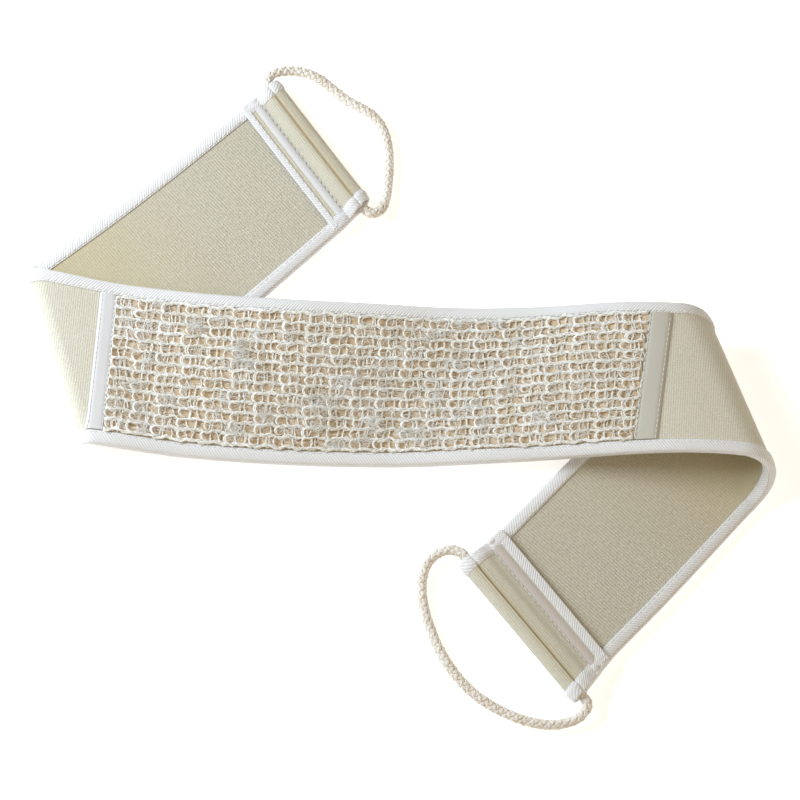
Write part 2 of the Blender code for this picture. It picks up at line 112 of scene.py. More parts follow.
# hems and ropes
CHANNEL_RADIUS = 5.05 * MM
CHANNEL_DEPTH = 3.45 * MM
HEM_SKEW = {-1: 0.127, 1: -0.152}
HEM_SEAM = {-1: 10.2 * MM, 1: 12.8 * MM}
FLAP_END = {-1: 20.0 * MM, 1: 23.0 * MM}
FLAP_LEVEL = 4.8 * MM
FLAP_LEG = {-1: 2.6 * MM, 1: 4.4 * MM}  # how far the flap's binding reaches over it
BAND_WIDTH = {-1: 3.9 * MM, 1: 4.6 * MM}  # smooth tape beside the hem's stitch line
FLAP_TAPE = 0.55 * MM  # thickness of the flap's binding
SPLICE_HALF = 7.0 * MM
ROPE_START = SPLICE_HALF + 0.4 * MM  # from the middle of the hem to each end of the rope
ROPE_STEP = 14.0 * MM  # between the rope's straight points inside the hem

# rope handles: across the hem, out from the channel's axis, height over the table (mm)
ROPE_ROUTE = {
    -1: [(45, 0, 6.4), (47.6, 1.2, 6.2), (49.3, 3.8, 5.8), (49.6, 7.4, 5.1), (48.2, 12, 4.3),
         (45, 17.2, 3.7), (40.2, 21.8, 3.4), (33.8, 25.2, 3.3), (27.3, 27, 3.3),
         (20.8, 28.4, 3.3), (13.5, 30.4, 3.3), (6, 33.8, 3.3), (-1.5, 36.4, 3.3),
         (-9, 36.7, 3.3), (-17, 34.6, 3.3), (-25, 30.6, 3.3), (-33, 25, 3.3),
         (-39.6, 19.6, 3.4), (-45.4, 14.3, 3.8), (-49.7, 9.2, 4.6), (-50.6, 4.4, 5.6),
         (-48.7, 1.2, 6.2), (-45, 0, 6.4)],
    1: [(49.5, 0, 6.4), (53.3, 0.9, 6.2), (56.9, 3.5, 5.6), (59.3, 7.8, 4.6),
        (59.8, 13.6, 3.7), (57.8, 19.8, 3.4), (53.2, 25.5, 3.3), (47.2, 30.4, 3.3),
        (39.5, 34.6, 3.3), (31, 38, 3.3), (21.5, 41, 3.3), (10.5, 43.1, 3.3),
        (-1.3, 43.6, 3.3), (-13, 42.1, 3.3), (-24, 38.6, 3.3), (-34.2, 33.6, 3.3),
        (-43, 27.6, 3.3), (-49.2, 21.4, 3.4), (-53, 14.8, 3.8), (-55.1, 8.4, 4.7),
        (-54.1, 2.7, 5.9), (-50.4, 0, 6.4)],
}
WHIP_PITCH = 0.62 * MM
WHIP_RADIUS = 2.9 * MM
WHIP_THREAD = 0.32 * MM
WHIP_CORE = 2.75 * MM  # the two rope ends under the thread
BRAID_WAYS = 4  # strands winding each way
BRAID_PITCH = 17.0 * MM
STRAND_LEVEL = 1.85  # mm from the rope's axis to the middle of its strands
STRAND_RISE = 0.4  # mm up and down as strands pass each other
PLY_PITCH = 0.62  # mm between the three plies of a strand
ROPE_CORE = 1.75 * MM

# camera
CAMERA_TARGET = (0.0019, -0.0057, 0.0)
CAMERA_ELEVATION = math.radians(70.0)
CAMERA_DISTANCE = 2.0
CAMERA_LENS = 168.7
CAMERA_SENSOR = 36.0

# light and floor; a lamp is its place, size, watts and colour
KEY_LAMP = ((-0.78, 0.22, 0.60), 0.5, 12.5, (0.80, 0.90, 1.0))
FILL_LAMP = ((0.9, -0.8, 1.0), 1.2, 5.0, (1.0, 0.80, 0.55))
SKY_COLOUR = (1.0, 0.91, 0.74)
SKY_STRENGTH = 0.40
FLOOR_HALF = 6.0
FLOOR_DROP = 0.6 * MM  # just under the lowest threads
FLOOR_GLOW = 0.50  # keeps the white table white under the soft light


# ---- the folded strap ----

def smooth(x):
    x = np.clip(x, 0.0, 1.0)
    return x * x * (3.0 - 2.0 * x)


def fold_normal(side):
    """Unit normal of a fold line in the flat strap, pointing towards that end."""
    angle = FOLD_ANGLE[side]
    return np.array([math.sin(angle), -math.cos(angle)]) * side


def fold_u(side, v, reach=0.0):
    """u of the line parallel to a fold line, at v, a distance reach beyond it."""
    angle = FOLD_ANGLE[side]
    return side * (FOLD_PLACE[side] + reach / math.sin(angle)) + v / math.tan(angle)


def beyond_fold(side, u, v):
    """Distance beyond a fold line, measured at right angles to it."""
    normal = fold_normal(side)
    return (u - side * FOLD_PLACE[side]) * normal[0] + v * normal[1]


def beyond_arm(side, u, v):
    """Distance outside the edge of the arm that lies under the middle, in plan."""
    normal = fold_normal(side)
    edge_v = side * HALF_WIDTH
    along = np.array([side, 0.0])
    arm_way = along - 2.0 * along.dot(normal) * normal
    outward = np.array([-arm_way[1], arm_way[0]])
    start = np.array([fold_u(side, edge_v), edge_v])
    inside = np.array([side * FOLD_PLACE[side], 0.0]) + arm_way * 60 * MM
    if outward.dot(inside - start) > 0:
        outward = -outward
    return (u - start[0]) * outward[0] + (v - start[1]) * outward[1]


def place(x, y, z):
    """Put plan coordinates where the strap lies, with its slight sideways sway."""
    y = y + SWAY[0] * x + SWAY[1] * x ** 2 + SWAY[2] * x ** 3
    turn = np.array([math.cos(PLAN_TURN), math.sin(PLAN_TURN)])
    return np.stack([x * turn[0] - y * turn[1] + PLAN_SHIFT[0],
                     x * turn[1] + y * turn[0] + PLAN_SHIFT[1], z], -1)


def middle_surface(u, v):
    """The strap's middle third: raised over the arms and the folds, flat between."""
    height = np.full(np.shape(u), STACK)
    width = np.ones(np.shape(u))
    for side in (-1, 1):
        inside = -beyond_fold(side, u, v)
        cover = 1.0 - smooth(beyond_arm(side, u, v) / COVER_FALL[side])
        fold = 1.0 - smooth(inside / FOLD_FALL[side])
        fold_rise = 2.0 * FOLD_RADIUS[side] - COVER_RISE
        height = height + COVER_RISE * cover + fold_rise * fold
        width = width + WIDTH_CHANGE[side] * (1.0 - smooth(inside / WIDTH_FADE))
    return place(u, v * width, height)


def arm_surface(side, u, v):
    """A fold and the arm beyond it: half a turn, then flat on the table."""
    normal = fold_normal(side)
    radius = FOLD_RADIUS[side]
    beyond = beyond_fold(side, u, v)
    turn = np.clip(beyond, 0.0, math.pi * radius) / radius
    flat = np.maximum(beyond - math.pi * radius, 0.0)
    out = radius * np.sin(turn) - flat
    fade = 1.0 - smooth(beyond / ARM_WIDTH_FADE)
    spread = WIDTH_CHANGE[side] * fade * v
    mirrored = np.array([0.0, 1.0]) - 2.0 * normal[1] * normal
    mix = turn / math.pi
    x = u - beyond * normal[0] + normal[0] * out + spread * mix * mirrored[0]
    y = v - beyond * normal[1] + normal[1] * out
    y = y + spread * ((1.0 - mix) + mix * mirrored[1])
    return place(x, y, STACK + radius + radius * np.cos(turn))


def middle_of_strap(u, v):
    point = middle_surface(u, v)
    for side in (-1, 1):
        over = beyond_fold(side, u, v) > 0.0
        point = np.where(over[..., None], arm_surface(side, u, v), point)
    return point


def strap_point(u, v, n):
    """World place of a point of the flat strap, n out of its front face."""
    u, v, n = np.broadcast_arrays(np.asarray(u, float), v, n)
    step = 0.2 * MM
    along = middle_of_strap(u + step, v) - middle_of_strap(u - step, v)
    across = middle_of_strap(u, v + step) - middle_of_strap(u, v - step)
    normal = np.cross(along, across)
    normal = normal / np.linalg.norm(normal, axis=-1, keepdims=True)
    return middle_of_strap(u, v) + normal * n[..., None]


def end_width(side, u, v):
    """v widened where the strap flares towards its end."""
    start = HALF_LENGTH[side] - FLARE_LENGTH
    flare = END_FLARE[side] / HALF_WIDTH
    return v * (1.0 + flare * smooth((u * side - start) / FLARE_LENGTH))


def channel_u(side, v, reach=0.0):
    """u of the rope channel's axis at v, or of a line a distance reach beyond it."""
    return side * (HALF_LENGTH[side] - END_REACH + HEM_SKEW[side] * v + reach)


# ---- cutting a layer into the parts that move alike ----

def zone_lines(zone, side, stop, step):
    """u lines across the strap as functions of v, evenly stepped along one zone."""
    turned = math.pi * FOLD_RADIUS.get(side, 0.0)
    first, last = {
        "middle": (lambda v: fold_u(-1, v), lambda v: fold_u(1, v)),
        "bend": (lambda v: fold_u(side, v), lambda v: fold_u(side, v, turned)),
        "arm": (lambda v: fold_u(side, v, turned), lambda v: channel_u(side, v, -stop)),
    }[zone]
    count = max(int(abs(last(0.0) - first(0.0)) / step), 4)
    return [lambda v, t=t: first(v) * (1.0 - t) + last(v) * t
            for t in np.linspace(0.0, 1.0, count + 1)]


def zones():
    """(name, zone, side) of the five parts each long layer is cut into."""
    yield "centre", "middle", 0
    for side, name in SIDE_NAME.items():
        yield f"{name}_fold", "bend", side
        yield f"{name}_arm", "arm", side


def attach(made, zone, side):
    """Let a piece move rigidly with the middle or its arm; a fold's piece keeps its place,
    baked in.
    """
    if zone == "middle":
        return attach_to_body(made, "centre")
    arm = f"{SIDE_NAME[side]}_arm"
    if zone == "arm":
        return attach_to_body(made, arm)
    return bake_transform(made)


def stand_for(zone, side, node):
    """Hide the CAD solid of the middle or of an arm that a piece is drawn for."""
    if zone == "middle":
        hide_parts(f"centre_{node}")
    if zone == "arm":
        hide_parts(f"{SIDE_NAME[side]}_arm_{node}")


# ---- mesh helpers ----

STRAND_UP = (0.31, 0.17, 1.0)  # a way that no strand runs for long
TINY = 1e-12  # keeps a division by a length safe


def distance_along(points):
    """Distance along a line of points, at each of them."""
    return np.concatenate([[0.0], np.cumsum(np.linalg.norm(np.diff(points, axis=0), axis=1))])


def add_object(name, data):
    made = bpy.data.objects.new(name, data)
    bpy.context.scene.collection.objects.link(made)
    return made


def mesh_object(name, points, faces, uv, look):
    """Link a smooth mesh object; faces is a list, and uv has a pair per vertex, in metres."""
    data = bpy.data.meshes.new(name)
    data.from_pydata(points.tolist(), [], faces)
    flat = data.uv_layers.new(name="flat")
    corner = np.zeros(len(data.loops), np.int32)
    data.loops.foreach_get("vertex_index", corner)
    flat.data.foreach_set("uv", np.asarray(uv, np.float32)[corner].ravel())
    data.shade_smooth()
    data.materials.append(look)
    return add_object(name, data)


def grid_faces(rows, columns, offset=0, flip=False, closed=False):
    """Quads of a grid of rows x columns points; closed wraps the columns round."""
    r = np.arange(rows - 1)[:, None]
    last = columns if closed else columns - 1
    c = np.arange(last)[None, :]
    d = (c + 1) % columns
    quads = np.stack([r * columns + c, r * columns + d, (r + 1) * columns + d,
                      (r + 1) * columns + c], -1).reshape(-1, 4) + offset
    return quads[:, ::-1] if flip else quads


def slab(name, front, back, uv, look):
    """A closed sheet between two grids of points, front facing out of the sisal side."""
    rows, columns = front.shape[:2]
    count = rows * columns
    points = np.concatenate([front.reshape(-1, 3), back.reshape(-1, 3)])
    ids = np.arange(count).reshape(rows, columns)
    rim = np.concatenate([ids[0, :-1], ids[:-1, -1], ids[-1, :0:-1], ids[:0:-1, 0]])
    after = np.roll(rim, -1)
    wall = np.stack([rim, after, after + count, rim + count], -1)
    faces = np.concatenate([grid_faces(rows, columns), wall[:, ::-1],
                            grid_faces(rows, columns, count, flip=True)])
    a, b, c, d = (points - points.mean(0))[faces].transpose(1, 0, 2)
    if (a * (np.cross(b, c) + np.cross(c, d))).sum() < 0:  # its faces look inward
        faces = faces[:, [0, 3, 2, 1]]
    uv = np.tile(np.asarray(uv).reshape(-1, 2), (2, 1))
    made = mesh_object(name, points, faces.tolist(), uv, look)
    made.data.set_sharp_from_angle(angle=math.radians(RIM_ANGLE))
    return made


def tubes(name, lines, radii, sides, look):
    """Round strands along many lines of points, joined into one mesh."""
    points, quads, fans, uvs, offset = [], [], [], [], 0
    around = np.linspace(0.0, 2 * math.pi, sides, endpoint=False)
    for line, radius in zip(lines, radii):
        line = np.asarray(line)
        count = len(line)
        tangent = np.gradient(line, axis=0)
        tangent /= np.linalg.norm(tangent, axis=1, keepdims=True) + TINY
        first = np.cross(tangent, STRAND_UP)
        first /= np.linalg.norm(first, axis=1, keepdims=True) + TINY
        second = np.cross(tangent, first)
        size = np.broadcast_to(radius, count)
        ring = (line[:, None] + size[:, None, None]
                * (np.cos(around)[:, None] * first[:, None]
                   + np.sin(around)[:, None] * second[:, None]))
        uv = np.stack(np.broadcast_arrays(distance_along(line)[:, None],
                                          (around * 0.5 * MM)[None, :]), -1)
        points += [ring.reshape(-1, 3), line[[0, -1]]]
        uvs += [uv.reshape(-1, 2), np.zeros((2, 2))]
        quads.append(grid_faces(count, sides, offset, closed=True))
        hub = offset + count * sides
        for cap, last in ((0, False), (count - 1, True)):
            ids = offset + cap * sides + np.arange(sides)
            after = np.roll(ids, -1)
            rim = (ids, after) if last else (after, ids)
            fans.append(np.stack([np.full(sides, hub + last), *rim], -1))
        offset += count * sides + 2
    faces = np.concatenate(quads).tolist() + np.concatenate(fans).tolist()
    return mesh_object(name, np.concatenate(points), faces, np.concatenate(uvs), look)


# ---- materials ----

WAVE_UNIT = math.pi / 10.0  # a wave texture's scale for a period of one metre
TWILL_ANGLE = math.radians(38.0)
PAINTED_SHADE_SPAN = 0.5  # metres of cloth that a painted shade's ramp covers
# painted shade: ochre along the hem's crease beside the rope
HEM_CREASE_PAINTED_SHADE = ((0.66, 0.50, 0.26), [(15.0 * MM, 0.0), (17.1 * MM, 0.85), (20.8 * MM, 0.0)])
# painted shade: yellow-brown on each arm beside its fold, where the raised middle shades it
FOLD_PAINTED_SHADE = ((0.64, 0.54, 0.31), [(170.0 * MM, 0.0), (205.0 * MM, 0.75), (300.0 * MM, 0.0)])


class Look:
    """A Principled material with short ways to add procedural detail to it."""

    def __init__(self, name, roughness, sheen=0.0, subsurface=0.0):
        self.material = bpy.data.materials.new(name)
        self.material.use_nodes = True
        self.tree = self.material.node_tree
        self.shader = self.tree.nodes["Principled BSDF"]
        for socket, value in (("Roughness", roughness), ("Specular IOR Level", 0.25),
                              ("Sheen Weight", sheen), ("Sheen Roughness", 0.5),
                              ("Subsurface Weight", subsurface),
                              ("Subsurface Radius", (0.003, 0.0025, 0.0018)),
                              ("Subsurface Scale", 0.6)):
            self.shader.inputs[socket].default_value = value

    def node(self, kind, **sockets):
        """A new node; each socket, its spaces as _, takes a number or another's output."""
        made = self.tree.nodes.new(kind)
        for name, value in sockets.items():
            self.feed(made.inputs[name.replace("_", " ")], value)
        return made

    def feed(self, socket, value):
        if isinstance(value, bpy.types.NodeSocket):
            self.tree.links.new(value, socket)
        else:
            socket.default_value = value

    def uv(self, scale=(1.0, 1.0, 1.0), turn=0.0):
        """The flat strap's coordinates in metres, scaled and turned."""
        source = self.node("ShaderNodeUVMap")
        source.uv_map = "flat"
        return self.node("ShaderNodeMapping", Vector=source.outputs[0], Scale=scale,
                         Rotation=(0.0, 0.0, turn)).outputs[0]

    def spot(self):
        """The surface's place in the object's own space, in metres."""
        return self.node("ShaderNodeTexCoord").outputs["Object"]

    def noise(self, vector, scale, detail, rough):
        return self.node("ShaderNodeTexNoise", Vector=vector, Scale=scale, Detail=detail,
                         Roughness=rough).outputs["Fac"]

    def wave(self, vector, pitch, distortion, detail_scale, direction='X'):
        """Sine bands a pitch apart, wavering by distortion."""
        made = self.node("ShaderNodeTexWave", Vector=vector, Scale=1.0 / pitch * WAVE_UNIT,
                         Distortion=distortion, Detail=2.0, Detail_Scale=detail_scale)
        made.bands_direction = direction
        return made.outputs["Fac"]

    def ramp(self, value, stops):
        made = self.node("ShaderNodeValToRGB", Fac=value)
        ramp = made.color_ramp
        while len(ramp.elements) < len(stops):
            ramp.elements.new(0.5)
        for element, (at, colour) in zip(ramp.elements, stops):
            element.position = at
            element.color = (*colour, 1.0)
        return made.outputs["Color"]

    def math(self, kind, *values):
        made = self.node("ShaderNodeMath")
        made.operation = kind
        for socket, value in zip(made.inputs, values):
            self.feed(socket, value)
        return made.outputs[0]

    def mix(self, share, a, b):
        made = self.node("ShaderNodeMix")
        made.data_type = 'RGBA'
        for name, value in (("Factor", share), ("A", a), ("B", b)):
            socket = [s for s in made.inputs if s.name == name and s.enabled][0]
            self.feed(socket, (*value, 1.0) if isinstance(value, tuple) else value)
        return [s for s in made.outputs if s.enabled][0]

    def finish(self, colour, grain, rough, height, depth, strength):
        """Wire up the colour, a roughness from rough[0] to rough[1], and the bump."""
        roughness = self.node("ShaderNodeMapRange", Value=grain, To_Min=rough[0],
                              To_Max=rough[1])
        bump = self.node("ShaderNodeBump", Height=height, Distance=depth, Strength=strength)
        self.feed(self.shader.inputs["Base Color"], colour)
        self.feed(self.shader.inputs["Roughness"], roughness.outputs[0])
        self.feed(self.shader.inputs["Normal"], bump.outputs[0])
        return self.material


def weave_look(name, light, dark, pitch, depth, ribs=0.5, painted_shade=None):
    """Looped cloth: rows of small loops in light and dark, pitch (along, across) apart.

    Its ribs are the share of the rows in the relief. A painted shade is a darker colour and its
    share at some distances along the cloth, in metres, where a fold or crease lies in shade.
    """
    look = Look(name, 0.92, 0.15, 0.1)
    flat = look.uv()
    rows = look.wave(flat, pitch[0], 2.6, 260.0, 'X')
    loops = look.wave(flat, pitch[1], 3.0, 420.0, 'Y')
    grain = look.noise(flat, 1500.0, 3.0, 0.75)
    coarse = look.noise(flat, 620.0, 3.0, 0.7)
    finer = ((loops, 0.25), (coarse, 1.1), (grain, 0.9))
    height = look.math('MULTIPLY', rows, ribs)
    for part, share in finer:
        height = look.math('ADD', height, look.math('MULTIPLY', part, share))
    total = ribs + sum(share for _, share in finer)
    shade = look.ramp(look.math('DIVIDE', height, total), [(0.38, dark), (0.60, light)])
    cloudy = look.ramp(look.noise(flat, 28.0, 3.0, 0.6),
                       [(0.3, tuple(c * 0.93 for c in light)), (0.7, light)])
    colour = look.mix(0.35, shade, cloudy)
    # painted shade: a darker tint mixed in along the cloth where a fold or crease lies in shade
    if painted_shade is not None:
        tint, stops = painted_shade
        apart = look.node("ShaderNodeSeparateXYZ", Vector=flat)
        at = look.math('DIVIDE', look.math('ABSOLUTE', apart.outputs["X"]), PAINTED_SHADE_SPAN)
        share = look.ramp(at, [(reach / PAINTED_SHADE_SPAN, (amount,) * 3) for reach, amount in stops])
        colour = look.mix(share, colour, tint)
    return look.finish(colour, grain, (0.85, 1.0), height, depth, 1.0)


def twill_look(name, light, dark, pitch=0.8 * MM, depth=0.12 * MM):
    """Twill tape: fine diagonal ribs."""
    look = Look(name, 0.85, 0.15, 0.1)
    ribs = look.wave(look.uv(turn=TWILL_ANGLE), pitch, 0.8, 300.0)
    grain = look.noise(look.uv(), 2600.0, 2.0, 0.6)
    height = look.math('ADD', ribs, look.math('MULTIPLY', grain, 0.5))
    shade = look.ramp(ribs, [(0.0, dark), (0.45, light)])
    soiled = look.ramp(look.noise(look.uv(), 40.0, 3.0, 0.6),
                       [(0.35, tuple(c * 0.94 for c in light)), (0.65, light)])
    colour = look.mix(0.4, shade, soiled)
    return look.finish(colour, grain, (0.78, 0.95), height, depth, 0.8)


def yarn_look(name, light, dark):
    """Loose fibres: fine streaks along each strand, with lighter and darker patches."""
    look = Look(name, 0.8, 0.1, 0.2)
    streaks = look.noise(look.uv((300.0, 6000.0, 1.0)), 1.0, 3.0, 0.6)
    patches = look.noise(look.spot(), 90.0, 3.0, 0.6)
    mixed = look.math('ADD', look.math('MULTIPLY', streaks, 0.5),
                      look.math('MULTIPLY', patches, 0.5))
    colour = look.ramp(mixed, [(0.34, dark), (0.56, light)])
    return look.finish(colour, streaks, (0.65, 0.95), streaks, 0.15 * MM, 0.6)


LOOKS = {
    # the back cloth carries painted shade on the arms beside the folds
    "back": weave_look("back_terry", (0.76, 0.715, 0.60), (0.40, 0.345, 0.245),
                       pitch=(1.5 * MM, 1.1 * MM), depth=0.40 * MM, ribs=0.35,
                       painted_shade=FOLD_PAINTED_SHADE),
    "front": weave_look("front_jersey", (0.86, 0.825, 0.715), (0.58, 0.52, 0.39),
                        pitch=(1.2 * MM, 1.0 * MM), depth=0.30 * MM, ribs=0.6),
    # the hem cloth carries painted shade in its crease
    "hem": weave_look("hem_jersey", (0.93, 0.89, 0.76), (0.63, 0.56, 0.39),
                      pitch=(1.15 * MM, 1.3 * MM), depth=0.40 * MM, ribs=0.75,
                      painted_shade=HEM_CREASE_PAINTED_SHADE),
    "padding": weave_look("wadding", (0.90, 0.88, 0.80), (0.75, 0.72, 0.62),
                          pitch=(3.0 * MM, 3.0 * MM), depth=0.2 * MM),
    "twill": twill_look("binding_twill", (0.84, 0.83, 0.84), (0.55, 0.54, 0.54),
                        pitch=1.3 * MM, depth=0.28 * MM),
    "tape": twill_look("panel_tape_twill", (0.70, 0.69, 0.70), (0.50, 0.485, 0.49)),
    # painted shade: a darker, warmer copy of the panel tape for the right end, which lies in
    # less light
    "shaded_tape": twill_look("warm_tape_twill", (0.57, 0.55, 0.49), (0.41, 0.39, 0.34)),
    # right hem band: its own brownish tape colour, darkened further by painted shade
    "band": twill_look("brown_shaded_hem_band_twill", (0.60, 0.54, 0.50), (0.40, 0.345, 0.315)),
    "thread": yarn_look("sewing_thread", (0.92, 0.92, 0.90), (0.70, 0.67, 0.61)),
    # painted shade: the tan sheet seen through the sisal knit's holes
    "ground": yarn_look("sisal_shade_sheet", (0.70, 0.54, 0.37), (0.48, 0.345, 0.21)),
    "sisal": yarn_look("sisal_yarn", (0.97, 0.955, 0.905), (0.76, 0.70, 0.56)),
    "fuzz": yarn_look("sisal_fibre", (0.99, 0.985, 0.96), (0.90, 0.86, 0.77)),
    "rope": yarn_look("cotton_braid", (0.90, 0.855, 0.79), (0.66, 0.55, 0.43)),
}


# ---- cloth layers ----

def layer(name, low, high, look, stop, step, columns, node, half=HALF_WIDTH):
    """One layer of the strap between two levels, cut into its five parts.

    Each part comes with its flat width and length.
    """
    made = []
    v = np.linspace(-half, half, columns)
    for part, zone, side in zones():
        lines = zone_lines(zone, side, stop, step if zone != "bend" else step / 2)
        u = np.array([line(v) for line in lines])
        wide = np.broadcast_to(v, u.shape)
        if zone == "arm":
            wide = end_width(side, u, wide)
        piece = slab(f"{part}_{name}", strap_point(u, wide, high), strap_point(u, wide, low),
                     np.stack([u, wide], -1), LOOKS[look])
        attach(piece, zone, side)
        stand_for(zone, side, node)
        made.append((piece, (2 * half, abs(float((u[-1] - u[0]).mean())))))
    return made


def hem_path(side):
    """Turned hem beside the rope's axis, from the table to the flap's end.

    Returns its (reach, level) points, and its way out of the cloth at each.
    """
    path = [(CHANNEL_RADIUS * math.sin(turn), -CHANNEL_DEPTH + CHANNEL_RADIUS * math.cos(turn))
            for turn in np.linspace(0.0, math.pi, 19)]
    top = -CHANNEL_DEPTH - CHANNEL_RADIUS
    seam = -HEM_SEAM[side]
    waves = ((-1.2 * MM, 1.5 * MM, 1.2 * MM),  # crease: its place, depth and width
             (seam, 0.6 * MM, 0.8 * MM),  # stitch line
             (0.55 * seam, -0.9 * MM, 2.6 * MM))  # fullness between the two
    for reach in np.arange(-0.5, -FLAP_END[side] / MM, -0.5) * MM:
        level = top + (-FLAP_LEVEL - top) * float(smooth(-reach / HEM_SEAM[side]))
        for at, depth, width in waves:
            level += depth * math.exp(-((reach - at) / width) ** 2)
        path.append((reach, level))
    path.append((-FLAP_END[side], -FLAP_LEVEL))
    path = np.array(path)
    way = np.gradient(path, axis=0)
    way = np.stack([way[:, 1], -way[:, 0]], -1)
    return path, way / np.linalg.norm(way, axis=1, keepdims=True)


def hem_point(side, v, step, way, out):
    """A point of the turned hem, out from the cloth's middle."""
    u = channel_u(side, v, step[0] + out * way[0])
    return strap_point(u, end_width(side, u, v), step[1] + out * way[1])


def build_cloths():
    step = 2.0 * MM
    back = layer("terry", -CLOTH_FACE, -CLOTH_FACE + CLOTH, "back", LAYER_STOP, step, 61,
                 "back_cloth")
    front = layer("jersey", CLOTH_FACE - CLOTH, CLOTH_FACE, "front", 0.0, step, 61,
                  "front_cloth")
    pads = layer("wadding", -PADDING / 2, PADDING / 2, "padding", LAYER_STOP, 3 * step, 13,
                 "padding", HALF_WIDTH - 1.0 * MM)


def build_hem(side):
    """The front cloth turned over the rope."""
    name = SIDE_NAME[side]
    path, way = hem_path(side)
    v = np.linspace(-HALF_WIDTH, HALF_WIDTH, 61)
    outer, inner = (np.array([hem_point(side, v, p, w, out) for p, w in zip(path, way)])
                    for out in (CLOTH / 2, -CLOTH / 2))
    run = distance_along(path)
    uv = np.stack(np.broadcast_arrays(run[:, None], v[None, :]), -1)
    turned = slab(f"{name}_hem_cloth", outer, inner, uv, LOOKS["hem"])
    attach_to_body(turned, f"{name}_arm")


def hem_stations(side):
    """The hem from the stack's end: (reach, n), way out, half depth of the side binding."""
    path, way = hem_path(side)
    thin = CLOTH / 2 + 0.45 * MM
    stations = []
    for inside in np.linspace(BINDING_STOP, 0.5 * MM, 12):
        drop = float(smooth((BINDING_STOP - inside) / (5.6 * MM)))
        stations.append(((-inside, CLOTH_LEVEL * drop), (0.0, 1.0),
                         BINDING_DEPTH + (thin - BINDING_DEPTH) * drop))
    return stations + [(p, w, thin) for p, w in zip(path, way)]


def build_hem_ends(side):
    """The long edges' binding carried on round both ends of the turned hem."""
    name = SIDE_NAME[side]
    for edge, edge_name in EDGE_NAME.items():
        outer, inner, uv = [], [], []
        for count, (step, way, depth) in enumerate(hem_stations(side)):
            v_out, n_out, across = binding_profile(depth)
            n_in = n_out - np.sign(n_out) * np.minimum(TAPE, np.abs(n_out) * 0.8)
            outer.append(hem_point(side, edge * v_out, step, way, n_out))
            inner.append(hem_point(side, edge * (v_out - binding_tuck(v_out)), step, way, n_in))
            uv.append(np.stack([np.full(len(across), count * 0.6 * MM), across], -1))
        piece = slab(f"{name}_hem_{edge_name}_twill", np.array(outer), np.array(inner),
                     np.array(uv), LOOKS["twill"])
        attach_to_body(piece, f"{name}_arm")


def flap_level(side, reach):
    """Level of the hem's upper side, under its trim."""
    path, _ = hem_path(side)
    path = path[np.argsort(path[:, 0])]
    upper = path[path[:, 1] < -FLAP_LEVEL + 1e-6]
    return np.interp(reach, upper[:, 0], upper[:, 1])


def strip_on_flap(name, side, profile, look, node):
    """A band across the hem; profile holds (reach, height over the flap, tape's run)."""
    half = HALF_WIDTH - 1.2 * MM
    v = np.linspace(-half, half, 90)
    rows, uv = [], []
    for reach, height, run in profile:
        level = flap_level(side, reach) - CLOTH / 2 - height
        rows.append(hem_point(side, v, (reach, level), (0.0, -1.0), 0.0))
        uv.append(np.stack([v, np.full(len(v), run)], -1))
    count = (len(profile) + 1) // 2
    piece = slab(name, np.array(rows[:count]), np.array(rows[count:][::-1]),
                 np.array(uv[:count]), look)
    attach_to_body(piece, f"{SIDE_NAME[side]}_arm")
    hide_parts(node)


def build_flap_binding(side):
    """Tape folded round the hem's free edge."""
    name = SIDE_NAME[side]
    end, leg = -FLAP_END[side], FLAP_LEG[side]
    depth = CLOTH + 2 * FLAP_TAPE
    over = [(end + leg * (1.0 - t), FLAP_TAPE * (0.75 + 0.5 * math.sin(math.pi * t)), leg * t)
            for t in np.linspace(0.0, 0.9, 8)]
    nose = [(end - 0.9 * MM * math.sin(t), depth / 2 * math.cos(t) + FLAP_TAPE - depth / 2,
             leg + t * MM) for t in np.linspace(0.0, math.pi, 9)]
    under = [(end + leg * k / 4, FLAP_TAPE - depth, leg + (3.1 + k) * MM) for k in range(1, 5)]
    outside = over + nose + under
    inside = [(max(reach, end) + (0.1 * MM if reach < end else 0.0),
               height + (-0.4 if height > -CLOTH / 2 else 0.4) * MM, run)
              for reach, height, run in outside]
    strip_on_flap(f"{name}_flap_twill", side, outside + inside[::-1], LOOKS["twill"],
                  f"{name}_hem_binding")


def build_hem_band(side):
    """Smooth tape sewn on beside the hem's stitch line."""
    name = SIDE_NAME[side]
    start, width = -HEM_SEAM[side] - 0.5 * MM, BAND_WIDTH[side]
    over = [(start - width * t, (0.15 + 0.55 * math.sin(math.pi * t)) * MM, width * t)
            for t in np.linspace(0.0, 1.0, 9)]
    below = [(reach, -0.1 * MM, run) for reach, _, run in reversed(over)]
    # the right band takes the brownish copy that carries painted shade
    strip_on_flap(f"{name}_hem_band", side, over + below,
                  LOOKS["tape" if side < 0 else "band"], f"{name}_hem_tape")


def build_hem_stitches(side):
    """A row along the hem's seam, and one along its bound edge."""
    name = SIDE_NAME[side]
    half = HALF_WIDTH - 1.5 * MM
    v = np.linspace(-half, half, 140)
    edge_row = -FLAP_END[side] + FLAP_LEG[side] - 0.5 * MM
    for kind, reach, lift, nodes in (("hem", -HEM_SEAM[side], 0.55 * MM, (f"{name}_hem_seam",)),
                                     ("flap", edge_row, 1.05 * MM, ())):
        level = flap_level(side, reach) - lift
        line = hem_point(side, v, (reach, level), (0.0, -1.0), 0.0)
        stitches(f"{name}_{kind}_stitches", line, "arm", side, nodes)


# ---- bindings ----

